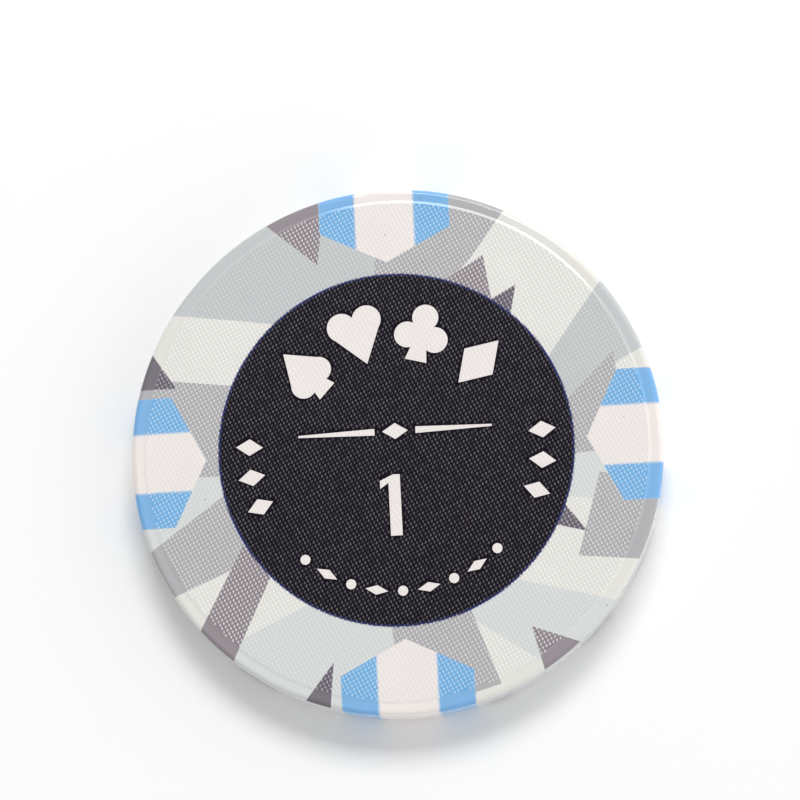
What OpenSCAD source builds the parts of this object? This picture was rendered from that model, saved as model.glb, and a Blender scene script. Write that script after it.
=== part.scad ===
// Poker chip moulded from mineral-filled resin and dyed all over.
// The core is the undyed blank. The dyed skin around it is split along the borders of its
// printed areas, so each area is a solid of one colour, face to face with its neighbours.
// The chip lies on its back: +Z points out of the front face and +Y is up on the print.

/* [Blank] */
// Diameter over the edge wall
chip_d = 39; // [36:0.5:48]
// Thickness over the two textured faces
chip_t = 3.3; // [2.6:0.1:4.5]
// Radius of the rounded corner between rim and edge wall
corner_r = 0.4; // [0.35:0.05:0.6]
// Depth to which the dye colours the resin
coat_t = 0.25; // [0.15:0.05:0.3]

/* [Rim] */
// Width of the smooth rim, from the edge wall to the head of its step
rim_w = 1.1; // [1:0.05:1.6]
// Depth of the rim below the textured face
rim_drop = 0.05; // [0.03:0.01:0.15]
// Width of the sloping step from the face down to the rim
step_w = 0.2; // [0.1:0.02:0.36]
// Angle on the rounded corner where the face print ends and the edge print starts
mitre_angle = 60; // [15:5:60]

/* [Edge spots] */
// Width of the white bar of a spot
white_bar_w = 4.36; // [3:0.02:5.5]
// Width of each blue bar beside it
blue_bar_w = 2.67; // [1.5:0.01:3.5]
// Length of a spot on the face along its point, from the edge wall
spot_point_len = 5.55; // [4.5:0.05:6.2]
// Length of a spot on the face along its sides, from the edge wall
spot_side_len = 3.1; // [2:0.05:4]

/* [Centre disc] */
// Diameter of the dark disc
disc_d = 26.1; // [23:0.1:27]

/* [Numeral] */
// Height of the numeral
numeral_h = 4.5; // [3:0.1:5]
// Width of the numeral's stem
stem_w = 0.86; // [0.5:0.02:1.2]
// Reach of the flag to the left of the stem
flag_reach = 0.62; // [0.3:0.02:1]
// Height of the flag's left end
flag_t = 0.6; // [0.3:0.05:1]
// Drop of the flag from the numeral's top to its left end
flag_drop = 0.42; // [0.2:0.02:0.8]
// Distance of the numeral's middle below the chip's centre
numeral_drop = 4.15; // [3.5:0.05:4.5]
// Distance of the stem's middle from the chip's centre line, to the left
numeral_shift = 0.24; // [0:0.02:1]

/* [Suit pips] */
// Height of a suit pip
pip_h = 4.3; // [3:0.1:4.8]
// Distance from the disc's edge to the pips' middles
pip_inset = 4.25; // [3.8:0.05:5]
// Angle between neighbouring pips
pip_step_angle = 31; // [28:1:36]

/* [Divider] */
// Height of the divider above the chip's centre
divider_rise = 1.3; // [1:0.05:1.6]
// Length of each rule of the divider
rule_len = 5.6; // [4:0.1:6]
// Distance between the two rules
rule_gap = 3; // [2.6:0.1:4]
// Thickness of a rule at its inner end
rule_t = 0.5; // [0.3:0.05:0.8]
// Thickness of a rule at its outer end
rule_tip_t = 0.16; // [0.1:0.02:0.3]
// Length of the lozenge between the rules
divider_lozenge_len = 1.9; // [1.2:0.1:2.4]
// Width of the lozenge between the rules
divider_lozenge_w = 1.2; // [0.8:0.1:1.6]

/* [Side lozenges] */
// Length of a side lozenge, along the disc's radius
lozenge_len = 2; // [1.4:0.1:2.4]
// Width of a side lozenge
lozenge_w = 1.24; // [0.8:0.02:1.6]
// Distance from the disc's edge to the side lozenges' middles
lozenge_inset = 2.3; // [1.8:0.05:2.8]
// Angle of the uppermost side lozenge below the horizontal
lozenge_start_angle = -4; // [-6:1:2]
// Angle between neighbouring side lozenges
lozenge_step_angle = 12; // [10:1:14]
// Number of lozenges on each side
lozenge_count = 3; // [1:1:3]

/* [Beads] */
// Diameter of a bead in the lower arc
bead_d = 0.74; // [0.4:0.02:1]
// Length of the small lozenges between the beads
bead_lozenge_len = 1.7; // [1:0.1:2]
// Distance from the disc's edge to the beads' middles
bead_inset = 2.6; // [2:0.05:3]
// Angle between neighbours in the lower arc
bead_step_angle = 10.5; // [9:0.5:12]
// Number of beads and lozenges on each side of the lower arc's middle
bead_count = 4; // [1:1:4]

/* [Hidden] */
$fn = 180;
chip_r = chip_d / 2;
disc_r = disc_d / 2;
mid_z = chip_t / 2;
face_r = chip_r - rim_w;
spot_half_w = white_bar_w / 2 + blue_bar_w;
spot_turn = 90;
// Reach of cutting shapes past the surfaces that they cut
overrun = 1;
// Distance from the face's level to the rounded corner's centre
corner_drop = rim_drop + corner_r;
// Centre of the rounded corner, as radius and height
corner_centre = [chip_r - corner_r, chip_t - corner_drop];
// Radius at which the face print ends
print_r = corner_centre[0] + corner_r * sin(mitre_angle);

// Place of the upper arc's middle, counted in pips from the left
pip_middle = 1.5;
// Where the numeral's top edge ends over the stem, as a share of the stem's width
flag_top_share = 0.12;
// Heart, as shares of its height: radius, side and height of its lobes, and its tip
heart_lobe_share = 0.25;
heart_side_share = 0.225;
heart_rise_share = 0.24;
heart_tip_share = -0.5;
// How near the heart's straight sides come to touching its lobes, as a share of their radius
heart_touch_share = 0.97;
// Spade, as shares of its height: size and rise of its leaf
spade_leaf_share = 0.86;
spade_rise_share = 0.07;
// Club, as shares of its height: radius, side and heights of its leaves
club_leaf_share = 0.225;
club_side_share = 0.24;
club_low_share = -0.08;
club_high_share = 0.27;
// Stem of spade and club, as shares of the pip's height: half widths and ends
stem_top_share = 0.05;
stem_foot_share = 0.19;
stem_start_share = 0.1;
stem_end_share = -0.5;
// Width of the diamond and of the small lozenges, as shares of their lengths
diamond_w_share = 0.66;
bead_lozenge_w_share = 0.42;

// Corners of the field's shards: turn about the centre in degrees, and share of the way
// from the disc's edge to the end of the face print. A later tone lies over an earlier one.
light_shard_shares = [
    [[8, -0.15], [26, -0.15], [38, 1.3], [20, 1.3], [17, 0.4]],
    [[88, -0.15], [127, -0.15], [148, 1.3], [110, 1.3], [92, 0.6]],
    [[178, -0.15], [200, -0.15], [203, 1.3], [190, 1.3], [184, 0.6]],
    [[224, 1.3], [256, 1.3], [266, 0.6], [271, -0.15], [241, -0.15]],
    [[286, -0.15], [306, -0.15], [324, 1.3], [304, 1.3]],
    [[345, 1.3], [356, 1.3], [362, 0.5], [361, -0.15], [340, -0.15]],
];
mid_shard_shares = [
    [[-6, -0.15], [10, -0.15], [21, 0.68], [-3, 0.6]],
    [[62, 1.3], [79, 1.3], [92, 0.6], [95, -0.15], [72, -0.15], [66, 0.3]],
    [[154, -0.15], [186, -0.15], [184, 0.6], [168, 0.9], [162, 1.3]],
    [[190, -0.15], [216, -0.15], [210, 1.3], [201, 1.3]],
    [[265, -0.15], [292, -0.15], [291, 0.9], [280, 0.9], [268, 0.6]],
    [[326, 0.38], [350, 0.3], [347, 1.3], [334, 1.3]],
];
dark_shard_shares = [
    [[50, -0.15], [75, -0.15], [63, 0.42]],
    [[101, 1.3], [119, 1.3], [110, 0.3]],
    [[206, -0.15], [221, -0.15], [231, 1.3], [222, 1.3]],
    [[299, 1.3], [313, 1.3], [304, 0.52]],
];
deep_shard_shares = [
    [[44, -0.15], [57, -0.15], [51, 0.3]],
    [[152, 1.3], [165, 1.3], [161, 0.6]],
    [[246, 1.3], [254, 1.3], [251, 0.5]],
    [[330, -0.15], [341, -0.15], [333, 0.34]],
];

resin_colour = [0.94, 0.93, 0.91];
grey_colour = [0.80, 0.81, 0.82];
white_colour = [0.94, 0.91, 0.90];
blue_colour = [0.38, 0.65, 0.87];
disc_colour = [0.14, 0.13, 0.16];
pale_colour = [0.93, 0.93, 0.91];
light_colour = [0.83, 0.85, 0.84];
mid_colour = [0.70, 0.70, 0.71];
dark_colour = [0.58, 0.56, 0.60];
deep_colour = [0.44, 0.42, 0.47];

FRONT = 0;
BACK = 1;

// Place of a shard's corner on the face
function field_point(p) = (disc_r + p[1] * (print_r - disc_r)) * [cos(p[0]), sin(p[0])];

// Point where a line from a tip touches a circle, on the side that turn gives
function touch_point(tip, centre, r, turn) =
    let (
        d = norm(centre - tip),
        to_centre = atan2(centre[1] - tip[1], centre[0] - tip[0]),
        a = to_centre + turn * asin(r / d)
    )
    tip + sqrt(d * d - r * r) * [cos(a), sin(a)];

// Half section of the blank, drawn in by a depth
module blank_section(depth) {
    rim_low = depth + rim_drop;
    polygon([
        [0, depth],
        [face_r, depth],
        [face_r + step_w, rim_low],
        [face_r + step_w, chip_t - rim_low],
        [face_r, chip_t - depth],
        [0, chip_t - depth],
    ]);
    translate([0, rim_low]) square([corner_centre[0], chip_t - 2 * rim_low]);
    translate([0, corner_drop]) square([chip_r - depth, chip_t - 2 * corner_drop]);
    for (z = [corner_drop, corner_centre[1]]) translate([corner_centre[0], z]) circle(corner_r - depth);
}

module blank(depth) rotate_extrude() blank_section(depth);

// The dyed skin all round the blank
module coat() {
    difference() {
        blank(0);
        blank(coat_t);
    }
}

// Space of the front face's print, which ends on a cone through the rounded corner
module face_zone() {
    reach = corner_r + overrun;
    cone_end = corner_centre + reach * [sin(mitre_angle), cos(mitre_angle)];
    rotate_extrude() polygon([[0, mid_z], corner_centre, cone_end, [0, cone_end[1]]]);
}

// Turns what is made on the front face over to the side asked for
module on_side(side) translate([0, 0, side * chip_t]) rotate([0, side * 180, 0]) children();

// Printed area of a face, from its plan
module face_area(side) {
    on_side(side) intersection() {
        coat();
        face_zone();
        translate([0, 0, mid_z]) linear_extrude(mid_z + overrun) children();
    }
}

// Printed area that wraps over the edge wall, from its plan
module wrapped_area() {
    intersection() {
        coat();
        translate([0, 0, -overrun]) linear_extrude(chip_t + 2 * overrun) children();
    }
}

// Plan of one edge spot on the +Y side, with its point towards the centre
module spot_plan() {
    polygon([
        [-spot_half_w, chip_r + overrun],
        [-spot_half_w, chip_r - spot_side_len],
        [0, chip_r - spot_point_len],
        [spot_half_w, chip_r - spot_side_len],
        [spot_half_w, chip_r + overrun],
    ]);
}

module spot_ring_plan() for (k = [0:3]) rotate(k * spot_turn) spot_plan();

module white_strip_plan() translate([-white_bar_w / 2, 0]) square([white_bar_w, chip_r + overrun]);

module lozenge_plan(len, w) polygon([[len / 2, 0], [0, w / 2], [-len / 2, 0], [0, -w / 2]]);

module numeral_plan() {
    translate([-numeral_shift, -numeral_drop]) polygon([
        [-stem_w / 2, -numeral_h / 2],
        [stem_w / 2, -numeral_h / 2],
        [stem_w / 2, numeral_h / 2],
        [-stem_w * flag_top_share, numeral_h / 2],
        [-stem_w / 2 - flag_reach, numeral_h / 2 - flag_drop],
        [-stem_w / 2 - flag_reach, numeral_h / 2 - flag_drop - flag_t],
        [-stem_w / 2, numeral_h / 2 - flag_t],
    ]);
}

module heart_plan(h) {
    tip = [0, heart_tip_share * h];
    r = heart_lobe_share * h;
    touch_r = heart_touch_share * r;
    right = [heart_side_share * h, heart_rise_share * h];
    left = [-right[0], right[1]];
    polygon([tip, touch_point(tip, right, touch_r, -1), right, left, touch_point(tip, left, touch_r, 1)]);
    for (c = [right, left]) translate(c) circle(r);
}

module pip_stem_plan(h) {
    polygon([
        [-stem_top_share * h, stem_start_share * h],
        [-stem_foot_share * h, stem_end_share * h],
        [stem_foot_share * h, stem_end_share * h],
        [stem_top_share * h, stem_start_share * h],
    ]);
}

module spade_plan(h) {
    translate([0, spade_rise_share * h]) mirror([0, 1]) heart_plan(spade_leaf_share * h);
    pip_stem_plan(h);
}

module club_plan(h) {
    leaves = [
        [0, club_high_share * h],
        [-club_side_share * h, club_low_share * h],
        [club_side_share * h, club_low_share * h],
    ];
    for (c = leaves) translate(c) circle(club_leaf_share * h);
    polygon(leaves);
    pip_stem_plan(h);
}

// Moves a pip to its place in the upper arc, counted from the left
module pip_place(k) {
    rotate((pip_middle - k) * pip_step_angle) translate([0, disc_r - pip_inset]) children();
}

module pip_row_plan() {
    pip_place(0) spade_plan(pip_h);
    pip_place(1) heart_plan(pip_h);
    pip_place(2) club_plan(pip_h);
    pip_place(3) rotate(spot_turn) lozenge_plan(pip_h, pip_h * diamond_w_share);
}

module divider_plan() {
    translate([0, divider_rise]) {
        lozenge_plan(divider_lozenge_len, divider_lozenge_w);
        for (flip = [0, 1]) mirror([flip, 0]) translate([rule_gap / 2, 0]) polygon([
            [0, -rule_t / 2],
            [rule_len, -rule_tip_t / 2],
            [rule_len, rule_tip_t / 2],
            [0, rule_t / 2],
        ]);
    }
}

module side_lozenges_plan() {
    for (flip = [0, 1]) mirror([flip, 0]) for (k = [0:lozenge_count - 1])
        rotate(-lozenge_start_angle - k * lozenge_step_angle)
            translate([disc_r - lozenge_inset, 0]) lozenge_plan(lozenge_len, lozenge_w);
}

// Arc of beads with a small lozenge at every second place
module beads_plan() {
    for (k = [-bead_count:bead_count])
        rotate(k * bead_step_angle) translate([0, bead_inset - disc_r])
            if (k % 2 == 0) circle(d = bead_d);
            else lozenge_plan(bead_lozenge_len, bead_lozenge_len * bead_lozenge_w_share);
}

module disc_plan() {
    difference() {
        circle(disc_r);
        numeral_plan();
        pip_row_plan();
        divider_plan();
        side_lozenges_plan();
        beads_plan();
    }
}

// Ring between the disc and the edge, without the spots
module field_plan() {
    difference() {
        circle(chip_r + overrun);
        circle(disc_r);
        spot_ring_plan();
    }
}

module shards(table) for (shard = table) polygon([for (p = shard) field_point(p)]);

module core_blank() color(resin_colour) blank(coat_t);

module edge_band() {
    color(grey_colour) difference() {
        coat();
        on_side(FRONT) face_zone();
        on_side(BACK) face_zone();
        translate([0, 0, -overrun]) linear_extrude(chip_t + 2 * overrun) spot_ring_plan();
    }
}

// White bar of the spot that lies k quarter turns from the top
module white_bar(k) {
    color(white_colour) rotate(k * spot_turn) wrapped_area() difference() {
        intersection() {
            spot_plan();
            white_strip_plan();
        }
        circle(disc_r);
    }
}

// Pair of blue bars of the spot that lies k quarter turns from the top
module blue_bars(k) {
    color(blue_colour) rotate(k * spot_turn) wrapped_area() difference() {
        spot_plan();
        white_strip_plan();
        circle(disc_r);
    }
}

module centre_disc(side) color(disc_colour) face_area(side) disc_plan();

module numeral(side) color(white_colour) face_area(side) numeral_plan();

module spade(side) color(white_colour) face_area(side) pip_place(0) spade_plan(pip_h);

module heart(side) color(white_colour) face_area(side) pip_place(1) heart_plan(pip_h);

module club(side) color(white_colour) face_area(side) pip_place(2) club_plan(pip_h);

module diamond(side) {
    color(white_colour) face_area(side) pip_place(3) rotate(spot_turn)
        lozenge_plan(pip_h, pip_h * diamond_w_share);
}

module divider(side) color(white_colour) face_area(side) divider_plan();

module side_lozenges(side) color(white_colour) face_area(side) side_lozenges_plan();

module beads(side) color(white_colour) face_area(side) beads_plan();

module field_pale(side) {
    color(pale_colour) face_area(side) difference() {
        field_plan();
        shards(light_shard_shares);
        shards(mid_shard_shares);
        shards(dark_shard_shares);
        shards(deep_shard_shares);
    }
}

module field_light(side) {
    color(light_colour) face_area(side) difference() {
        intersection() {
            field_plan();
            shards(light_shard_shares);
        }
        shards(mid_shard_shares);
        shards(dark_shard_shares);
        shards(deep_shard_shares);
    }
}

module field_mid(side) {
    color(mid_colour) face_area(side) difference() {
        intersection() {
            field_plan();
            shards(mid_shard_shares);
        }
        shards(dark_shard_shares);
        shards(deep_shard_shares);
    }
}

module field_dark(side) {
    color(dark_colour) face_area(side) difference() {
        intersection() {
            field_plan();
            shards(dark_shard_shares);
        }
        shards(deep_shard_shares);
    }
}

module field_deep(side) {
    color(deep_colour) face_area(side) intersection() {
        field_plan();
        shards(deep_shard_shares);
    }
}

core_blank();
edge_band();
white_bar(0);  // white_bar_top
white_bar(1);  // white_bar_left
white_bar(2);  // white_bar_bottom
white_bar(3);  // white_bar_right
blue_bars(0);  // blue_bars_top
blue_bars(1);  // blue_bars_left
blue_bars(2);  // blue_bars_bottom
blue_bars(3);  // blue_bars_right
centre_disc(FRONT);  // front_disc
numeral(FRONT);  // front_numeral
spade(FRONT);  // front_spade
heart(FRONT);  // front_heart
club(FRONT);  // front_club
diamond(FRONT);  // front_diamond
divider(FRONT);  // front_divider
side_lozenges(FRONT);  // front_side_lozenges
beads(FRONT);  // front_beads
field_pale(FRONT);  // front_field_pale
field_light(FRONT);  // front_field_light
field_mid(FRONT);  // front_field_mid
field_dark(FRONT);  // front_field_dark
field_deep(FRONT);  // front_field_deep
centre_disc(BACK);  // back_disc
numeral(BACK);  // back_numeral
spade(BACK);  // back_spade
heart(BACK);  // back_heart
club(BACK);  // back_club
diamond(BACK);  // back_diamond
divider(BACK);  // back_divider
side_lozenges(BACK);  // back_side_lozenges
beads(BACK);  // back_beads
field_pale(BACK);  // back_field_pale
field_light(BACK);  // back_field_light
field_mid(BACK);  // back_field_mid
field_dark(BACK);  // back_field_dark
field_deep(BACK);  // back_field_deep
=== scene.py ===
"""Finishes a dyed resin poker chip: its print, the fine dots on both faces, and the stage."""

import math

import bpy
import numpy as np
from bpy.props import FloatProperty, FloatVectorProperty, IntProperty, PointerProperty
from mathutils import Matrix, Vector
from mathutils.bvhtree import BVHTree


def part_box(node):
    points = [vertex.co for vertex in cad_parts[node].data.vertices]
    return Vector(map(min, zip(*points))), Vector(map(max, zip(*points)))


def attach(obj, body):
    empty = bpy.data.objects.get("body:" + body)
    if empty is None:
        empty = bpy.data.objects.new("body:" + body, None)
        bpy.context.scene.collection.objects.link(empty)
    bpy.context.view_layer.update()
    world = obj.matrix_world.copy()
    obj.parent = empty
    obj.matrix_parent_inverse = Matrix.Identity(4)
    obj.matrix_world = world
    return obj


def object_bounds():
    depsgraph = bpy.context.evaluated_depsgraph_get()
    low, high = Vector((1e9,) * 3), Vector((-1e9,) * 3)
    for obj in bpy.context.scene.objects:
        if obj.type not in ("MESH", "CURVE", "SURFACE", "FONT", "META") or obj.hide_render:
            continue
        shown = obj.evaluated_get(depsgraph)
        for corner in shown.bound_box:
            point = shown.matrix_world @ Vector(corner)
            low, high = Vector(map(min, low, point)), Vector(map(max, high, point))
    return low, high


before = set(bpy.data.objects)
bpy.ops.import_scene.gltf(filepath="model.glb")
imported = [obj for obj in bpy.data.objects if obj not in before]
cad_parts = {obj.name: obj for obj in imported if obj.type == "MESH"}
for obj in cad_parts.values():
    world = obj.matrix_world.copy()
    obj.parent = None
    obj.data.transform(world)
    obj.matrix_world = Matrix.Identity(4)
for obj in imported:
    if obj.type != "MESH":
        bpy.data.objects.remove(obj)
CAD_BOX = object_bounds()

bl_info = {
    "name": "Dyed Poker Chip",
    "version": (1, 0, 0),
    "blender": (4, 5, 0),
    "location": "View3D > Sidebar > Chip",
    "description": "Finishes a dyed resin poker chip with woven dots and a soft stage",
    "category": "Object",
}

# Millimetres in a metre
PER_METRE = 1000
MM = 1 / PER_METRE
# How near a height a corner of a CAD node lies when it counts as level with it
LEVEL_TOLERANCE = 0.002 * MM

SIDES = ("front", "back")
SPOTS = ("top", "left", "bottom", "right")
INLAYS = ("numeral", "spade", "heart", "club", "diamond", "divider", "side_lozenges", "beads")
FIELDS = ("pale", "light", "mid", "dark", "deep")
# Colour attribute of the dots: the dye under them, and in its last channel how little of it they took
GROUND = "ground"
# Mark of the dots that are cut away
WASTE = "waste"
# Rings of the whole ball whose upper half makes a dot, and the sharpest bend that looks smooth on it
DOT_RINGS = 4
SMOOTH_ANGLE = math.radians(60)
# Way from a dot's middle to the corner of its square on the grid, in squares
HALF_SQUARE = (0.5, 0.5, 0)
# Inks of the specks, and the chance value from which each one counts
SPECK_INKS = (("speck_black", 0), ("speck_brown", 0.6), ("speck_red", 0.82), ("speck_green", 0.93))
# Depths below the rim, in millimetres, over which the corner's denser dye and painted shade come and go
CORNER_DYE_AND_SHADE_COMES = (0, 0.1)
CORNER_DYE_AND_SHADE_GOES = (0.45, 0.3)
# Noise over which the line between two prints comes to show
LINE_SHOWS = (0.44, 0.56)
# Lightness from which a dye no longer counts as dark
DARK_DYE_ENDS = 0.15
FLOOR_ROUGHNESS = 0.9
# Width of the camera's sensor, in millimetres, and the nearest thing that the camera sees
SENSOR_W = 36
NEAREST = 10 * MM


def corners(node):
    """Places of the corners of a CAD node, one to a row."""
    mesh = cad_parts[node].data
    places = np.empty(len(mesh.vertices) * 3, np.float32)
    mesh.vertices.foreach_get("co", places)
    return places.reshape(-1, 3)


# Measures of the chip, read from its solids
TOP_Z = CAD_BOX[1].z
MID_Z = TOP_Z / 2
DISC_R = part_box("front_disc")[1].x
WHITE_HALF_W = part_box("white_bar_top")[1].x
SPOT_HALF_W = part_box("blue_bars_top")[1].x
BAR_CORNERS = corners("white_bar_top")
BAR_RADII = np.hypot(BAR_CORNERS[:, 0], BAR_CORNERS[:, 1])
BAR_HEIGHTS = BAR_CORNERS[:, 2]
FACE_R = float(BAR_RADII[BAR_HEIGHTS > TOP_Z - LEVEL_TOLERANCE].max())
RIM_Z = float(BAR_HEIGHTS[BAR_RADII > FACE_R + LEVEL_TOLERANCE].max())
RIM_RADII = BAR_RADII[np.abs(BAR_HEIGHTS - RIM_Z) < LEVEL_TOLERANCE]
RIM_END_R = float(RIM_RADII.max())
STEP_END_R = float(RIM_RADII[RIM_RADII > FACE_R].min())


def length(name, description, default):
    """A length property in metres, from a default in millimetres."""
    return FloatProperty(
        name=name, description=description, default=default * MM, unit="LENGTH", precision=6
    )


def share(name, description, default):
    """A property between nothing and all."""
    return FloatProperty(
        name=name, description=description, default=default, min=0, max=1, subtype="FACTOR"
    )


def tone(name, description, red, green, blue):
    """A colour property, given as it shows on a screen."""
    return FloatVectorProperty(
        name=name,
        description=description,
        default=(red / 255, green / 255, blue / 255),
        min=0,
        max=1,
        subtype="COLOR_GAMMA",
    )


def waves(name, description, default):
    """A property that counts the waves of an uneven pattern in a millimetre."""
    return FloatProperty(name=name, description=description, default=default, min=0)


class ChipWeave(bpy.types.PropertyGroup):
    """Sizes of the fine raised dots on both faces."""

    pitch: length("Pitch", "Distance between neighbouring dots", 0.2848)
    dot_w: length("Dot Width", "Width of a dot at its foot", 0.2)
    dot_l: length("Dot Length", "Length of a dot at its foot", 0.27)
    bare_l: length("Bare Length", "Length over which a dot takes less dye, past its foot", 0.31)
    dot_h: length("Dot Height", "Height of a dot over the face", 0.012)
    sink: length("Sink", "Depth of a dot's foot below the face", 0.004)
    margin: length("Margin", "Least distance from a dot's middle to the face's edge", 0.02)
    turn: FloatProperty(
        name="Turn",
        description="Angle of the rows of dots on the print",
        default=math.radians(25.8),
        subtype="ANGLE",
    )
    lean: FloatProperty(
        name="Lean",
        description="Angle of a dot's length from the line across the rows",
        default=math.radians(-28),
        subtype="ANGLE",
    )
    dot_sides: IntProperty(name="Dot Sides", description="Sides of a dot's outline", default=8, min=3)


class ChipDyes(bpy.types.PropertyGroup):
    """Colours of the dyed areas between the dots, as they show on a screen."""

    resin: tone("Resin", "Undyed resin of the blank", 240, 238, 232)
    grey: tone("Grey", "Edge band between the spots", 203, 207, 208)
    white: tone("White", "White bars and inlays", 238, 231, 228)
    blue: tone("Blue", "Blue bars", 115, 177, 227)
    black: tone("Black", "Centre disc", 16, 10, 24)
    pale: tone("Pale", "Palest shards of the field", 226, 225, 219)
    soft: tone("Soft", "Light shards below the middle", 213, 217, 216)
    light: tone("Light", "Light shards above the middle", 194, 198, 199)
    mid: tone("Mid", "Middle shards of the field", 174, 173, 176)
    dark: tone("Dark", "Dark shards of the field", 142, 133, 140)
    deep: tone("Deep", "Deepest shards of the field", 104, 98, 110)
    fringe: tone("Fringe", "Dye that ran out round the centre disc", 40, 54, 122)
    dot_white: tone("Dot White", "Resin that shows where a dot took little dye", 252, 250, 247)
    speck_black: tone("Speck Black", "Specks of dust", 63, 57, 60)
    speck_brown: tone("Speck Brown", "Specks of fibre", 111, 97, 93)
    speck_red: tone("Speck Red", "Specks of stray red ink", 179, 97, 80)
    speck_green: tone("Speck Green", "Specks of stray green ink", 89, 160, 149)


class ChipBareness(bpy.types.PropertyGroup):
    """How little dye the dots of each area took."""

    white: share("White", "Bareness of the dots on white bars and inlays", 0.3)
    blue: share("Blue", "Bareness of the dots on blue bars", 0.38)
    black: share("Black", "Bareness of the dots on the centre disc", 0.092)
    pale: share("Pale", "Bareness of the dots on the palest shards", 0.6)
    soft: share("Soft", "Bareness of the dots on light shards below the middle", 0.25)
    light: share("Light", "Bareness of the dots on light shards above the middle", 0.22)
    mid: share("Mid", "Bareness of the dots on middle shards", 0.48)
    dark: share("Dark", "Bareness of the dots on dark shards", 0.54)
    deep: share("Deep", "Bareness of the dots on the deepest shards", 0.3)


class ChipFinish(bpy.types.PropertyGroup):
    """Gloss, unevenness and wear of the dyed surfaces, with painted light on the step and painted shade
    round the corner.
    """

    face_roughness: share("Face Roughness", "Roughness of the woven faces", 0.24)
    rim_roughness: share("Rim Roughness", "Roughness of the smooth rim and the edge wall", 0.2)
    scuff: share("Scuff", "How much the roughness differs from patch to patch", 0.12)
    shine: share("Shine", "Strength of the resin's own reflection", 0.25)
    rim_gloss: share("Rim Gloss", "Clear gloss of the smooth rim and the edge wall", 0.38)
    gloss_roughness: share("Gloss Roughness", "Roughness of the clear gloss", 0.12)
    gloss_index: FloatProperty(
        name="Gloss Index", description="Refractive index of the clear gloss", default=1.5, min=1
    )
    pore_strength: share("Pore Strength", "Strength of the resin's fine pores", 0.12)
    pore_depth: length("Pore Depth", "Depth of the resin's fine pores", 0.01)
    edge_softness: length("Edge Softness", "Half the width over which face turns to rim", 0.04)
    rim_paleness: share("Rim Paleness", "How much paler the dye is on the smooth rim", 0.09)
    rim_lift: share("Rim Lift", "How much brighter the dye is on the smooth rim", 0.035)
    # Painted light: the step is brightened all round so that it shows no shade
    step_painted_light: share("Step Painted Light", "How much brighter still the dye is on the step down to the rim", 0.05)
    # Part denser print, part painted shade: a gamma darkens the dye round the corner
    corner_dye_and_shade: share("Corner Dye and Shade", "How much denser the dye is round the corner", 0.22)
    mottle: share("Mottle", "Unevenness of the dye", 0.07)
    grain_share: share("Grain Share", "Share of the fine grain in the dye's unevenness", 0.55)
    dot_swing: share("Dot Swing", "How much the bareness differs from the least to the most bare dot", 0.09)
    dye_creep: share("Dye Creep", "How much further a black dye creeps up its dots than a light one", 0.8)
    dot_crown: share("Dot Crown", "Share of a dot's width over which it is at its barest", 0.4)
    speck_share: share("Speck Share", "Share of the spots of dust and stray ink that show", 0.16)
    speck_strength: share("Speck Strength", "How much a speck covers the dye", 0.55)
    speck_least: length("Speck Least", "Radius of the smallest specks", 0.024)
    speck_most: length("Speck Most", "Radius of the largest specks", 0.067)
    bleed: length("Bleed", "Reach of a dye into its neighbour", 0.15)
    fringe: length("Fringe", "Width of the fringe round the centre disc", 0.24)
    line_w: length("Line Width", "Width of the uneven line between face print and edge print", 0.07)
    line_drop: length("Line Drop", "Depth of that line below the rim", 0.36)
    line_stray: length("Line Stray", "How far that line strays up and down", 0.12)
    line_bareness: share("Line Bareness", "How little dye that line took where it shows", 0.3)


class ChipGrain(bpy.types.PropertyGroup):
    """Fineness of the uneven patterns, in waves to the millimetre."""

    dye_grain: waves("Dye Grain", "Fine grain of the dye", 9)
    dye_cloud: waves("Dye Cloud", "Broad clouds in the dye", 0.35)
    border: waves("Border", "Wander of the borders between dyes", 6)
    scuff: waves("Scuff", "Patches of duller and brighter finish", 1.7)
    pores: waves("Pores", "Fine pores of the resin", 14)
    line_wander: waves("Line Wander", "Wander of the line between face print and edge print", 0.7)
    line_stretch: waves("Line Stretch", "Stretches where that line shows", 0.22)
    specks: waves("Specks", "Places where a speck can lie", 0.42)


class ChipStage(bpy.types.PropertyGroup):
    """Camera, lights and floor."""

    lens: FloatProperty(name="Lens", description="Focal length on a 36 mm sensor", default=141.75)
    distance: length("Distance", "Distance of the camera from its aim", 230.5)
    elevation: FloatProperty(
        name="Elevation",
        description="Angle of the camera over the face",
        default=math.radians(78.93),
        subtype="ANGLE",
    )
    azimuth: FloatProperty(
        name="Azimuth",
        description="Turn of the camera round the chip, from straight below the print",
        default=math.radians(20.6),
        subtype="ANGLE",
    )
    lean: FloatProperty(
        name="Lean",
        description="Turn of the image's upright from the print's upright",
        default=math.radians(2.93),
        subtype="ANGLE",
    )
    aim_x: length("Aim X", "Where the camera aims, to the right of the chip's middle", 0.49)
    aim_y: length("Aim Y", "Where the camera aims, above the chip's middle", 3.57)
    key_from: FloatVectorProperty(
        name="Key From",
        description="Direction of the soft light from the chip",
        default=(0.115, 0.684, 0.72),
        subtype="DIRECTION",
    )
    key_distance: length("Key Distance", "Distance of the soft light from the chip", 1200)
    key_w: length("Key Width", "Width of the soft light", 666)
    key_h: length("Key Height", "Height of the soft light", 420)
    key_power: FloatProperty(name="Key Power", description="Power of the soft light", default=8.4)
    zenith: FloatProperty(name="Zenith", description="Light from straight above", default=0.25)
    horizon: FloatProperty(name="Horizon", description="Light from all round at floor level", default=1.31)
    side: share("Side", "How much brighter the bright side is than the mean", 0.56)
    side_from: FloatVectorProperty(
        name="Side From",
        description="Direction of the bright side from the chip",
        default=(0.95, -0.25, 0),
        subtype="DIRECTION",
    )
    floor_size: length("Floor Size", "Width of the floor", 6000)
    floor: tone("Floor", "Colour of the floor", 254, 254, 254)


def linear(colour):
    """A screen colour as the linear colour that shaders take, with full cover."""
    return (*(c / 12.92 if c <= 0.04045 else ((c + 0.055) / 1.055) ** 2.4 for c in colour), 1)


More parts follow.
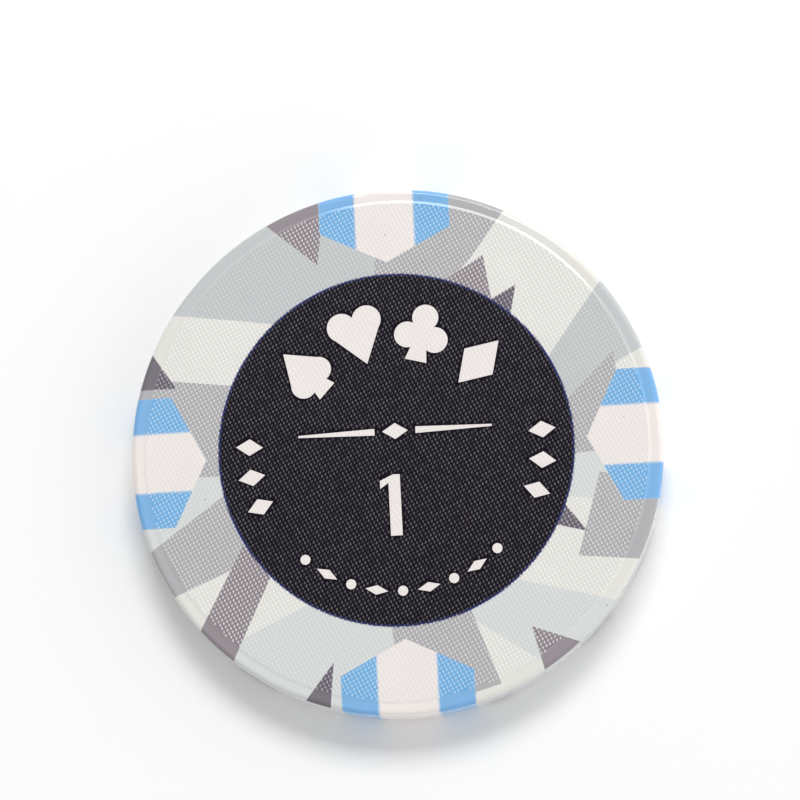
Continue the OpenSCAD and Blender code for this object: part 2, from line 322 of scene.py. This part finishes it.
class Graph:
    """Adds nodes to one shader tree and links them."""

    def __init__(self, tree):
        self.tree = tree

    def feed(self, socket, value):
        """Links a socket to an output, or sets its value."""
        if isinstance(value, bpy.types.NodeSocket):
            self.tree.links.new(value, socket)
        else:
            socket.default_value = value

    def add(self, kind, inputs=(), **settings):
        """A node with its settings, and its inputs by name or place."""
        node = self.tree.nodes.new(kind)
        for name, value in settings.items():
            setattr(node, name, value)
        for key, value in dict(inputs).items():
            self.feed(node.inputs[key], value)
        return node

    def math(self, operation, *values, clamp=False):
        """Result of a sum of numbers."""
        node = self.add("ShaderNodeMath", enumerate(values), operation=operation, use_clamp=clamp)
        return node.outputs[0]

    def vector(self, operation, *values):
        """Result of a sum of vectors."""
        node = self.add("ShaderNodeVectorMath", enumerate(values), operation=operation)
        return node.outputs["Value" if operation in ("LENGTH", "DOT_PRODUCT") else "Vector"]

    def scale(self, vector, factor):
        """A vector or a colour times a number."""
        inputs = {"Vector": vector, "Scale": factor}
        return self.add("ShaderNodeVectorMath", inputs, operation="SCALE").outputs["Vector"]

    def ramp(self, value, start, end):
        """Rises smoothly from nothing at start to all at end."""
        inputs = {"Value": value, "From Min": start, "From Max": end}
        return self.add("ShaderNodeMapRange", inputs, interpolation_type="SMOOTHSTEP").outputs["Result"]

    def between(self, value, low, high):
        """Carries a value from nothing to all over to a range."""
        inputs = {"Value": value, "To Min": low, "To Max": high}
        return self.add("ShaderNodeMapRange", inputs).outputs["Result"]

    def mix(self, factor, first, second, blend="MIX"):
        """Two colours blended by a factor."""
        inputs = {0: factor, 6: first, 7: second}
        return self.add("ShaderNodeMix", inputs, data_type="RGBA", blend_type=blend).outputs[2]

    def noise(self, place, scale, detail=2):
        """Noise from nothing to all, with its scale in waves per millimetre."""
        inputs = {"Vector": place, "Scale": scale, "Detail": detail}
        return self.add("ShaderNodeTexNoise", inputs).outputs["Fac"]

    def stray(self, place, scale, detail=2):
        """Noise that strays by a half to either side of nothing."""
        return self.math("SUBTRACT", self.noise(place, scale, detail), 0.5)

    def group(self, name, inputs=()):
        """Outputs of a shared effect, placed with its own values."""
        node = self.add("ShaderNodeGroup", node_tree=bpy.data.node_groups[name])
        for key, value in dict(inputs).items():
            self.feed(node.inputs[key], value)
        return node.outputs


def new_group(name, inputs, outputs):
    """An empty shared effect with its graph, inlet and outlet."""
    tree = bpy.data.node_groups.new(name, "ShaderNodeTree")
    for socket, kind in inputs:
        tree.interface.new_socket(socket, in_out="INPUT", socket_type="NodeSocket" + kind)
    for socket, kind in outputs:
        tree.interface.new_socket(socket, in_out="OUTPUT", socket_type="NodeSocket" + kind)
    graph = Graph(tree)
    return graph, graph.add("NodeGroupInput").outputs, graph.add("NodeGroupOutput").inputs


def make_place_group():
    """Where a point lies on the chip, in millimetres and the same way round on both faces."""
    graph, _, outlet = new_group(
        "Chip Place",
        (),
        (("Face", "Vector"), ("Radius", "Float"), ("Height", "Float"), ("Across", "Float")),
    )
    place = graph.scale(graph.add("ShaderNodeTexCoord").outputs["Object"], PER_METRE)
    x, y, z = graph.add("ShaderNodeSeparateXYZ", {0: place}).outputs
    height = graph.math("SUBTRACT", z, MID_Z * PER_METRE)
    face_x = graph.math("MULTIPLY", x, graph.math("SIGN", height))
    face = graph.add("ShaderNodeCombineXYZ", {0: face_x, 1: y}).outputs[0]
    graph.feed(outlet["Face"], face)
    graph.feed(outlet["Radius"], graph.vector("LENGTH", face))
    graph.feed(outlet["Height"], graph.math("ABSOLUTE", height))
    across = graph.math("MINIMUM", graph.math("ABSOLUTE", x), graph.math("ABSOLUTE", y))
    graph.feed(outlet["Across"], across)


def make_weave_group(weave):
    """How far a point lies from its dot's middle, as a share of the way to full dye, and a chance."""
    graph, inlet, outlet = new_group(
        "Weave", (("Face", "Vector"),), (("Distance", "Float"), ("Chance", "Float"))
    )
    inputs = {"Vector": inlet["Face"], "Angle": -weave.turn}
    turned = graph.add("ShaderNodeVectorRotate", inputs, rotation_type="Z_AXIS").outputs[0]
    shifted = graph.vector("ADD", graph.scale(turned, MM / weave.pitch), HALF_SQUARE)
    offset = graph.vector("SUBTRACT", graph.vector("FRACTION", shifted), HALF_SQUARE)
    inputs = {"Vector": offset, "Angle": -weave.lean}
    upright = graph.add("ShaderNodeVectorRotate", inputs, rotation_type="Z_AXIS").outputs[0]
    reach = (2 * weave.pitch / weave.dot_w, 2 * weave.pitch / weave.bare_l, 0)
    graph.feed(outlet["Distance"], graph.vector("LENGTH", graph.vector("MULTIPLY", upright, reach)))
    square = graph.vector("FLOOR", shifted)
    graph.feed(outlet["Chance"], graph.add("ShaderNodeTexWhiteNoise", {"Vector": square}).outputs["Value"])


def make_mottle_group(grain, finish):
    """Uneven take-up of the dye: fine grain and broad clouds."""
    graph, inlet, outlet = new_group(
        "Dye Mottle",
        (("Colour", "Color"), ("Place", "Vector"), ("Amount", "Float")),
        (("Colour", "Color"),),
    )
    fine = graph.stray(inlet["Place"], grain.dye_grain, detail=3)
    fine = graph.math("MULTIPLY", fine, finish.grain_share)
    cloud = graph.stray(inlet["Place"], grain.dye_cloud)
    cloud = graph.math("MULTIPLY", cloud, 1 - finish.grain_share)
    swing = graph.math("MULTIPLY", graph.math("ADD", fine, cloud), inlet["Amount"])
    gain = graph.math("MULTIPLY_ADD", swing, 2, 1)
    grey = graph.add("ShaderNodeCombineColor", {0: gain, 1: gain, 2: gain}).outputs[0]
    graph.feed(outlet["Colour"], graph.mix(1, inlet["Colour"], grey, "MULTIPLY"))


def make_speck_group(dyes, grain, finish):
    """Sparse specks of dust and stray ink."""
    graph, inlet, outlet = new_group(
        "Specks", (("Colour", "Color"), ("Place", "Vector"), ("Share", "Float")), (("Colour", "Color"),)
    )
    inputs = {"Vector": inlet["Place"], "Scale": grain.specks}
    cells = graph.add("ShaderNodeTexVoronoi", inputs, voronoi_dimensions="2D").outputs
    chance = graph.add("ShaderNodeSeparateColor", {0: cells["Color"]}).outputs
    least, most = (radius * PER_METRE * grain.specks for radius in (finish.speck_least, finish.speck_most))
    near = graph.math("LESS_THAN", cells["Distance"], graph.between(chance["Green"], least, most))
    chosen = graph.math("LESS_THAN", chance["Red"], inlet["Share"])
    ink = graph.add("ShaderNodeValToRGB", {"Fac": chance["Blue"]}).outputs[0]
    stops = ink.node.color_ramp
    stops.interpolation = "CONSTANT"
    while len(stops.elements) < len(SPECK_INKS):
        stops.elements.new(1)
    for stop, (name, start) in zip(stops.elements, SPECK_INKS):
        stop.position = start
        stop.color = linear(getattr(dyes, name))
    shown = graph.math("MULTIPLY", graph.math("MULTIPLY", near, chosen), finish.speck_strength)
    graph.feed(outlet["Colour"], graph.mix(shown, inlet["Colour"], ink))


def make_bleed_group(grain):
    """Soft border where a dye runs into its neighbour, half and half at the border itself."""
    graph, inlet, outlet = new_group(
        "Dye Bleed",
        (
            ("Colour", "Color"),
            ("Neighbour", "Color"),
            ("Place", "Vector"),
            ("Inside", "Float"),
            ("Reach", "Float"),
        ),
        (("Colour", "Color"),),
    )
    wander = graph.stray(inlet["Place"], grain.border)
    inside = graph.math("MULTIPLY_ADD", wander, inlet["Reach"], inlet["Inside"])
    kept = graph.ramp(inside, graph.math("MULTIPLY", inlet["Reach"], -1), inlet["Reach"])
    graph.feed(outlet["Colour"], graph.mix(kept, inlet["Neighbour"], inlet["Colour"]))


def past_edge(graph, radius, edge_r, softness):
    """Rises from nothing within a round edge to all past it."""
    edge, soft = edge_r * PER_METRE, softness * PER_METRE
    return graph.ramp(radius, edge - soft, edge + soft)


def make_finish_group(grain, finish):
    """Roughness and clear gloss of the woven face and the smooth rim, and the height of the fine pores."""
    graph, inlet, outlet = new_group(
        "Resin Finish",
        (("Face", "Vector"), ("Radius", "Float")),
        (("Roughness", "Float"), ("Gloss", "Float"), ("Height", "Float")),
    )
    rim = past_edge(graph, inlet["Radius"], FACE_R, finish.edge_softness)
    base = graph.between(rim, finish.face_roughness, finish.rim_roughness)
    scuff = graph.stray(inlet["Face"], grain.scuff, detail=6)
    graph.feed(outlet["Roughness"], graph.math("MULTIPLY_ADD", scuff, finish.scuff, base))
    graph.feed(outlet["Gloss"], graph.math("MULTIPLY", rim, finish.rim_gloss))
    graph.feed(outlet["Height"], graph.noise(inlet["Face"], grain.pores))


def make_rim_group(grain, finish):
    """Paler dye on step and rim, painted light on the step, denser dye and painted shade round the corner,
    and the line where two prints meet.
    """
    graph, inlet, outlet = new_group(
        "Rim Dye and Painted Shading",
        (
            ("Colour", "Color"),
            ("Pale", "Color"),
            ("Face", "Vector"),
            ("Radius", "Float"),
            ("Height", "Float"),
        ),
        (("Colour", "Color"),),
    )
    rim = past_edge(graph, inlet["Radius"], FACE_R, finish.edge_softness)
    step = graph.math("SUBTRACT", rim, past_edge(graph, inlet["Radius"], STEP_END_R, finish.edge_softness))
    paled = graph.mix(graph.math("MULTIPLY", rim, finish.rim_paleness), inlet["Colour"], inlet["Pale"])
    # The rim is brightened a little and the step more; on the step this is painted light that hides its
    # shade
    lift = graph.math("MULTIPLY_ADD", rim, finish.rim_lift, graph.math("MULTIPLY", step, finish.step_painted_light))
    lifted = graph.scale(paled, graph.math("ADD", lift, 1))

    # Round the corner a gamma darkens the dye: partly denser print, partly painted shade
    past_rim = graph.math("GREATER_THAN", inlet["Radius"], RIM_END_R * PER_METRE)
    depth = graph.math("SUBTRACT", (RIM_Z - MID_Z) * PER_METRE, inlet["Height"])
    comes, goes = graph.ramp(depth, *CORNER_DYE_AND_SHADE_COMES), graph.ramp(depth, *CORNER_DYE_AND_SHADE_GOES)
    corner = graph.math("MULTIPLY", graph.math("MULTIPLY", comes, goes), past_rim)
    denser = graph.math("MULTIPLY_ADD", corner, finish.corner_dye_and_shade, 1)
    dyed = graph.add("ShaderNodeGamma", {"Color": lifted, "Gamma": denser}).outputs[0]

    wander = graph.stray(inlet["Face"], grain.line_wander)
    strayed = graph.math("MULTIPLY_ADD", wander, finish.line_stray * PER_METRE, depth)
    offset = graph.math("ABSOLUTE", graph.math("SUBTRACT", strayed, finish.line_drop * PER_METRE))
    width = finish.line_w * PER_METRE
    line = graph.math("MULTIPLY", graph.ramp(offset, width, width / 3), past_rim)
    shows = graph.ramp(graph.noise(inlet["Face"], grain.line_stretch), *LINE_SHOWS)
    bare = graph.math("MULTIPLY", line, graph.between(shows, 0, finish.line_bareness))
    graph.feed(outlet["Colour"], graph.mix(bare, dyed, inlet["Pale"]))


def start_material(name):
    """A new material, its graph and the outputs of the chip's place."""
    material = bpy.data.materials.new(name)
    material.use_nodes = True
    graph = Graph(material.node_tree)
    return material, graph, graph.group("Chip Place")


def coat_resin(graph, dye, place, finish):
    """Gives the shader a dye and the resin's own reflection. Returns it with the surface's finish."""
    surface = graph.group("Resin Finish", {"Face": place["Face"], "Radius": place["Radius"]})
    shader = graph.tree.nodes["Principled BSDF"]
    graph.feed(shader.inputs["Base Color"], dye)
    graph.feed(shader.inputs["Roughness"], surface["Roughness"])
    graph.feed(shader.inputs["Specular IOR Level"], finish.shine)
    return shader, surface


def dyed_material(name, colour, borders=()):
    """Resin dyed in one tone. A border has a neighbour's tone, the distance to it and the bleed's reach."""
    scene = bpy.context.scene
    finish = scene.chip_finish
    material, graph, place = start_material(name)
    dye = graph.group(
        "Dye Mottle", {"Colour": linear(colour), "Place": place["Face"], "Amount": finish.mottle}
    )["Colour"]
    for neighbour, distance, reach in borders:
        dye = graph.group(
            "Dye Bleed",
            {
                "Colour": dye,
                "Neighbour": linear(neighbour),
                "Place": place["Face"],
                "Inside": distance(graph, place),
                "Reach": reach * PER_METRE,
            },
        )["Colour"]
    dye = graph.group(
        "Rim Dye and Painted Shading",
        {
            "Colour": dye,
            "Pale": linear(scene.chip_dyes.dot_white),
            "Face": place["Face"],
            "Radius": place["Radius"],
            "Height": place["Height"],
        },
    )["Colour"]
    dye = graph.group(
        "Specks", {"Colour": dye, "Place": place["Face"], "Share": finish.speck_share}
    )["Colour"]
    shader, surface = coat_resin(graph, dye, place, finish)
    graph.feed(shader.inputs["Coat Weight"], surface["Gloss"])
    graph.feed(shader.inputs["Coat Roughness"], finish.gloss_roughness)
    graph.feed(shader.inputs["Coat IOR"], finish.gloss_index)
    pores = {"Height": surface["Height"], "Strength": finish.pore_strength, "Distance": finish.pore_depth}
    graph.feed(shader.inputs["Normal"], graph.add("ShaderNodeBump", pores).outputs["Normal"])
    return material


def dot_material():
    """Dots that took less dye than the print under them, more or less from dot to dot."""
    scene = bpy.context.scene
    finish = scene.chip_finish
    material, graph, place = start_material("Woven Dots")
    dot = graph.group("Weave", {"Face": place["Face"]})
    ground = graph.add("ShaderNodeAttribute", attribute_name=GROUND).outputs
    lightness = graph.add("ShaderNodeRGBToBW", {0: ground["Color"]}).outputs[0]
    creep = graph.math("MULTIPLY_ADD", graph.ramp(lightness, DARK_DYE_ENDS, 0), finish.dye_creep, 1)
    crown = graph.math("POWER", graph.ramp(dot["Distance"], 1, finish.dot_crown), creep)
    swing = graph.between(dot["Chance"], -finish.dot_swing / 2, finish.dot_swing / 2)
    bare = graph.math("MULTIPLY", crown, graph.math("ADD", ground["Alpha"], swing), clamp=True)
    tint = graph.mix(bare, ground["Color"], linear(scene.chip_dyes.dot_white))
    dye = graph.group(
        "Dye Mottle", {"Colour": tint, "Place": place["Face"], "Amount": finish.mottle}
    )["Colour"]
    coat_resin(graph, dye, place, finish)
    return material


def above_middle(graph, place):
    """Distance upwards from the chip's middle on the print."""
    return graph.add("ShaderNodeSeparateXYZ", {0: place["Face"]}).outputs["Y"]


def past_disc(graph, place):
    """Distance outwards from the disc's border."""
    return graph.math("SUBTRACT", place["Radius"], DISC_R * PER_METRE)


def within_fringe(graph, place):
    """Distance inwards from the middle of the fringe inside the disc's border."""
    middle_r = DISC_R - bpy.context.scene.chip_finish.fringe / 2
    return graph.math("SUBTRACT", middle_r * PER_METRE, place["Radius"])


def within_white(graph, place):
    """Distance inwards from a white bar's sides."""
    return graph.math("SUBTRACT", WHITE_HALF_W * PER_METRE, place["Across"])


def past_white(graph, place):
    """Distance outwards from a white bar's sides."""
    return graph.math("SUBTRACT", place["Across"], WHITE_HALF_W * PER_METRE)


def within_spot(graph, place):
    """Distance inwards from a spot's outer sides."""
    return graph.math("SUBTRACT", SPOT_HALF_W * PER_METRE, place["Across"])


def dress(node, material):
    """Gives a CAD node its material."""
    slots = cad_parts[node].data.materials
    slots.clear()
    slots.append(material)


def deselect():
    """Leaves object mode with nothing selected."""
    if bpy.context.mode != "OBJECT":
        bpy.ops.object.mode_set(mode="OBJECT")
    bpy.ops.object.select_all(action="DESELECT")


class CHIP_OT_effects(bpy.types.Operator):
    """Build the shared effects that the dyed materials use"""

    bl_idname = "chip.effects"
    bl_label = "Shared Effects"

    def execute(self, context):
        scene = context.scene
        grain = scene.chip_grain
        finish = scene.chip_finish
        make_place_group()
        make_weave_group(scene.chip_weave)
        make_mottle_group(grain, finish)
        make_speck_group(scene.chip_dyes, grain, finish)
        make_bleed_group(grain)
        make_finish_group(grain, finish)
        make_rim_group(grain, finish)
        return {"FINISHED"}


class CHIP_OT_blank(bpy.types.Operator):
    """Finish the undyed core and the dyed edge band round it"""

    bl_idname = "chip.blank"
    bl_label = "Blank and Edge Band"

    def execute(self, context):
        dyes = context.scene.chip_dyes
        dress("core_blank", dyed_material("Undyed Resin", dyes.resin))
        dress("edge_band", dyed_material("Grey Edge Dye", dyes.grey))
        return {"FINISHED"}


class CHIP_OT_spots(bpy.types.Operator):
    """Finish the white and blue bars of the four edge spots"""

    bl_idname = "chip.spots"
    bl_label = "Edge Spots"

    def execute(self, context):
        dyes = context.scene.chip_dyes
        bleed = context.scene.chip_finish.bleed
        white = dyed_material("White Bar Dye", dyes.white, [(dyes.blue, within_white, bleed)])
        blue = dyed_material(
            "Blue Bar Dye", dyes.blue, [(dyes.white, past_white, bleed), (dyes.light, within_spot, bleed)]
        )
        for spot in SPOTS:
            dress(f"white_bar_{spot}", white)
            dress(f"blue_bars_{spot}", blue)
        return {"FINISHED"}


class CHIP_OT_disc(bpy.types.Operator):
    """Finish the dark disc and its white inlays on both faces"""

    bl_idname = "chip.disc"
    bl_label = "Centre Disc"

    def execute(self, context):
        dyes = context.scene.chip_dyes
        fringe = context.scene.chip_finish.fringe
        black = dyed_material("Black Disc Dye", dyes.black, [(dyes.fringe, within_fringe, fringe / 2)])
        white = dyed_material("White Inlay Dye", dyes.white)
        for side in SIDES:
            dress(f"{side}_disc", black)
            for inlay in INLAYS:
                dress(f"{side}_{inlay}", white)
        return {"FINISHED"}


class CHIP_OT_field(bpy.types.Operator):
    """Finish the shards of the grey field on both faces"""

    bl_idname = "chip.field"
    bl_label = "Field Shards"

    def execute(self, context):
        dyes = context.scene.chip_dyes
        bleed = context.scene.chip_finish.bleed
        fringe = (dyes.fringe, past_disc, bleed)
        for field in FIELDS:
            borders = [(dyes.soft, above_middle, bleed), fringe] if field == "light" else [fringe]
            material = dyed_material(f"{field.title()} Shard Dye", getattr(dyes, field), borders)
            for side in SIDES:
                dress(f"{side}_field_{field}", material)
        return {"FINISHED"}


def model_dot(weave):
    """One low closed dome at the corner of the grid, with its foot just below the face."""
    deselect()
    bpy.ops.mesh.primitive_uv_sphere_add(
        segments=weave.dot_sides, ring_count=DOT_RINGS, radius=weave.dot_w / 2
    )
    dot = bpy.context.object
    bpy.ops.object.mode_set(mode="EDIT")
    bpy.ops.mesh.select_mode(type="VERT")
    bpy.ops.mesh.select_all(action="DESELECT")
    bpy.ops.object.mode_set(mode="OBJECT")
    for vertex in dot.data.vertices:
        vertex.select = vertex.co.z < -LEVEL_TOLERANCE
    bpy.ops.object.mode_set(mode="EDIT")
    bpy.ops.mesh.delete(type="VERT")
    bpy.ops.mesh.select_non_manifold()
    bpy.ops.mesh.edge_face_add()
    bpy.ops.mesh.select_all(action="SELECT")
    flatness = (weave.dot_h + weave.sink) / (weave.dot_w / 2)
    bpy.ops.transform.resize(value=(1, weave.dot_l / weave.dot_w, flatness), center_override=(0, 0, 0))
    bpy.ops.mesh.normals_make_consistent(inside=False)
    bpy.ops.object.mode_set(mode="OBJECT")
    bpy.ops.object.shade_smooth_by_angle(angle=SMOOTH_ANGLE)
    return dot


def repeat(piece, axis, count, step):
    """Copies a piece along an axis."""
    array = piece.modifiers.new("Row", "ARRAY")
    array.count = count
    array.use_relative_offset = False
    array.use_constant_offset = True
    array.constant_offset_displace = [step if k == axis else 0 for k in range(3)]
    bpy.ops.object.modifier_apply(modifier=array.name)


def model_dot_sheet(weave):
    """A square grid of dots that covers the face, and the number of corners and faces of each dot."""
    dot = model_dot(weave)
    reach = math.ceil(FACE_R * math.sqrt(2) / weave.pitch)
    counts = len(dot.data.vertices), len(dot.data.polygons)
    dot.location = (-reach * weave.pitch, -reach * weave.pitch, TOP_Z - weave.sink)
    dot.rotation_euler.z = weave.lean
    bpy.ops.object.transform_apply()
    for axis in range(2):
        repeat(dot, axis, 2 * reach + 1, weave.pitch)
    dot.rotation_euler.z = weave.turn
    bpy.ops.object.transform_apply()
    return dot, *counts


def node_tree(node):
    """The faces of a CAD node, ready for quick searches."""
    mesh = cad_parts[node].data
    return BVHTree.FromPolygons([v.co for v in mesh.vertices], [p.vertices for p in mesh.polygons])


def trees_near(trees, x, y, reach):
    """Those of the named trees that come within a reach of a place on the front face."""
    place = Vector((x, y, TOP_Z))
    return [(name, tree) for name, tree in trees if tree.find_nearest(place, reach)[0] is not None]


def tone_at(trees, x, y):
    """Name of the tone under a place on the front face, or none past its edge."""
    return next((name for name, _ in trees_near(trees, x, y, LEVEL_TOLERANCE)), None)


class CHIP_OT_weave(bpy.types.Operator):
    """Raise the grid of fine dots on both faces, grouped by the tone under each dot"""

    bl_idname = "chip.weave"
    bl_label = "Woven Dots"

    def execute(self, context):
        scene = context.scene
        tones = {
            "white": [f"front_{inlay}" for inlay in INLAYS] + [f"white_bar_{spot}" for spot in SPOTS],
            **{field: [f"front_field_{field}"] for field in FIELDS},
            "blue": [f"blue_bars_{spot}" for spot in SPOTS],
            "black": ["front_disc"],
        }
        sheet, corner_count, face_count = model_dot_sheet(scene.chip_weave)
        places = np.empty(len(sheet.data.vertices) * 3, np.float32)
        sheet.data.vertices.foreach_get("co", places)
        choices, grounds = self.take_dye(scene, tones, places.reshape(-1, corner_count, 3))
        ground = sheet.data.color_attributes.new(GROUND, "FLOAT_COLOR", "POINT")
        ground.data.foreach_set("color", grounds.ravel())
        for name in (*tones, WASTE):
            sheet.data.materials.append(bpy.data.materials.new(name))
        sheet.data.polygons.foreach_set("material_index", np.repeat(choices, face_count))
        bpy.ops.object.mode_set(mode="EDIT")
        bpy.ops.mesh.separate(type="MATERIAL")
        bpy.ops.object.mode_set(mode="OBJECT")
        material = dot_material()
        for piece in list(context.selected_objects):
            mark = piece.data.materials[0]
            if mark.name == WASTE:
                bpy.data.objects.remove(piece)
            else:
                piece.data.materials.clear()
                piece.data.materials.append(material)
                self.finish_piece(piece, mark.name)
            bpy.data.materials.remove(mark)
        return {"FINISHED"}

    def shade(self, name, y):
        """A light shard's own shade, which is softer below the chip's middle, or else the tone itself."""
        return "soft" if name == "light" and y < 0 else name

    def take_dye(self, scene, tones, dots):
        """The tone's place in the list for each dot, and the dye and bareness under each of its corners."""
        weave = scene.chip_weave
        trees = [(name, node_tree(node)) for name, nodes in tones.items() for node in nodes]
        dyes = {
            name: (*linear(getattr(scene.chip_dyes, name))[:3], getattr(scene.chip_bareness, name))
            for name in (*tones, "soft")
        }
        names = (*tones, WASTE)
        choices = []
        grounds = np.ones((*dots.shape[:2], 4), np.float32)
        for k, (x, y, _) in enumerate(dots.mean(1)):
            near = []
            if math.hypot(x, y) < FACE_R - weave.margin:
                near = trees_near(trees, x, y, weave.dot_l / 2)
            choice = tone_at(near, x, y)
            near_tones = {name for name, _ in near}
            if choice is None or {"black", "white"} <= near_tones:
                choice = WASTE
            elif len(near_tones) > 1:
                under = [tone_at(near, *corner[:2]) or choice for corner in dots[k]]
                grounds[k] = [dyes[self.shade(name, y)] for name in under]
            else:
                grounds[k] = dyes[self.shade(choice, y)]
            choices.append(names.index(choice))
        return choices, grounds

    def finish_piece(self, piece, name):
        """Names the dots of one tone and copies them to the back."""
        deselect()
        piece.select_set(True)
        bpy.context.view_layer.objects.active = piece
        piece.name = f"front_dots_{name}"
        bpy.ops.object.duplicate()
        copy = bpy.context.object
        copy.name = f"back_dots_{name}"
        copy.rotation_euler.y = math.pi
        copy.location.z = TOP_Z
        bpy.ops.object.transform_apply()
        for dots in (piece, copy):
            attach(dots, "root")


class CHIP_OT_stage(bpy.types.Operator):
    """Set up the floor, the lights and the camera"""

    bl_idname = "chip.stage"
    bl_label = "Stage"

    def execute(self, context):
        scene = context.scene
        stage = scene.chip_stage
        self.lay_floor(scene, stage)
        self.hang_sky(scene, stage)
        self.hang_key(stage)
        self.place_camera(scene, stage)
        scene.view_settings.view_transform = "Standard"
        return {"FINISHED"}

    def lay_floor(self, scene, stage):
        """A plain pale floor just under the chip's lower dots."""
        deselect()
        level = -scene.chip_weave.dot_h - LEVEL_TOLERANCE
        bpy.ops.mesh.primitive_plane_add(size=stage.floor_size, location=(0, 0, level))
        floor = bpy.context.object
        floor.name = "floor"
        material = bpy.data.materials.new("Pale Floor")
        material.use_nodes = True
        shader = material.node_tree.nodes["Principled BSDF"]
        shader.inputs["Base Color"].default_value = linear(stage.floor)
        shader.inputs["Roughness"].default_value = FLOOR_ROUGHNESS
        shader.inputs["Specular IOR Level"].default_value = 0
        floor.data.materials.append(material)

    def hang_key(self, stage):
        """A wide soft light over the top of the print."""
        deselect()
        place = Vector(stage.key_from).normalized() * stage.key_distance
        bpy.ops.object.light_add(
            type="AREA", location=place, rotation=place.to_track_quat("Z", "Y").to_euler()
        )
        light = bpy.context.object
        light.name = "Key Light"
        light.data.shape = "RECTANGLE"
        light.data.size = stage.key_w
        light.data.size_y = stage.key_h
        light.data.energy = stage.key_power

    def hang_sky(self, scene, stage):
        """Light from all round, dim above, bright at floor level and brightest on one side."""
        scene.world = bpy.data.worlds.new("Studio")
        scene.world.use_nodes = True
        graph = Graph(scene.world.node_tree)
        direction = graph.add("ShaderNodeTexCoord").outputs["Generated"]
        side = graph.vector("DOT_PRODUCT", direction, tuple(stage.side_from))
        around = graph.math("MULTIPLY", graph.math("MULTIPLY_ADD", side, stage.side, 1), stage.horizon)
        height = graph.math("MAXIMUM", graph.add("ShaderNodeSeparateXYZ", {0: direction}).outputs["Z"], 0)
        low = graph.math("MULTIPLY", graph.math("SUBTRACT", 1, height), around)
        strength = graph.math("MULTIPLY_ADD", height, stage.zenith, low)
        sky = graph.tree.nodes["Background"]
        sky.inputs["Color"].default_value = (1, 1, 1, 1)
        graph.feed(sky.inputs["Strength"], strength)

    def place_camera(self, scene, stage):
        """A camera over the front face, upright with the print."""
        aim = Vector((stage.aim_x, stage.aim_y, TOP_Z))
        flat = math.cos(stage.elevation)
        back = Vector(
            (flat * math.sin(stage.azimuth), -flat * math.cos(stage.azimuth), math.sin(stage.elevation))
        )
        upright = Vector((math.sin(stage.lean), math.cos(stage.lean), 0))
        right = upright.cross(back).normalized()
        up = back.cross(right)
        bpy.ops.object.camera_add()
        camera = bpy.context.object
        camera.name = "Camera"
        turn = Matrix((right, up, back)).transposed().to_4x4()
        camera.matrix_world = Matrix.Translation(aim + back * stage.distance) @ turn
        camera.data.lens = stage.lens
        camera.data.sensor_width = SENSOR_W
        camera.data.clip_start = NEAREST
        scene.camera = camera


class CHIP_PT_panel(bpy.types.Panel):
    """Lists the steps that finish the chip"""

    bl_idname = "CHIP_PT_panel"
    bl_label = "Poker Chip"
    bl_space_type = "VIEW_3D"
    bl_region_type = "UI"
    bl_category = "Chip"

    def draw(self, context):
        for group in GROUPS:
            values = getattr(context.scene, group)
            box = self.layout.box()
            for name in values.__annotations__:
                box.prop(values, name)
        for step in STEPS:
            self.layout.operator(step.bl_idname)


STEPS = (
    CHIP_OT_effects,
    CHIP_OT_blank,
    CHIP_OT_spots,
    CHIP_OT_disc,
    CHIP_OT_field,
    CHIP_OT_weave,
    CHIP_OT_stage,
)
GROUPS = {
    "chip_weave": ChipWeave,
    "chip_dyes": ChipDyes,
    "chip_bareness": ChipBareness,
    "chip_finish": ChipFinish,
    "chip_grain": ChipGrain,
    "chip_stage": ChipStage,
}


def register():
    """Adds the chip's properties, steps and panel to Blender."""
    for name, group in GROUPS.items():
        bpy.utils.register_class(group)
        setattr(bpy.types.Scene, name, PointerProperty(type=group))
    for step in STEPS:
        bpy.utils.register_class(step)
    bpy.utils.register_class(CHIP_PT_panel)


def unregister():
    """Takes them away again."""
    bpy.utils.unregister_class(CHIP_PT_panel)
    for step in reversed(STEPS):
        bpy.utils.unregister_class(step)
    for name, group in reversed(GROUPS.items()):
        delattr(bpy.types.Scene, name)
        bpy.utils.unregister_class(group)


def main():
    """Finishes the chip step by step."""
    register()
    bpy.ops.chip.effects()
    bpy.ops.chip.blank()
    bpy.ops.chip.spots()
    bpy.ops.chip.disc()
    bpy.ops.chip.field()
    bpy.ops.chip.weave()
    bpy.ops.chip.stage()


if __name__ == "__main__":
    main()
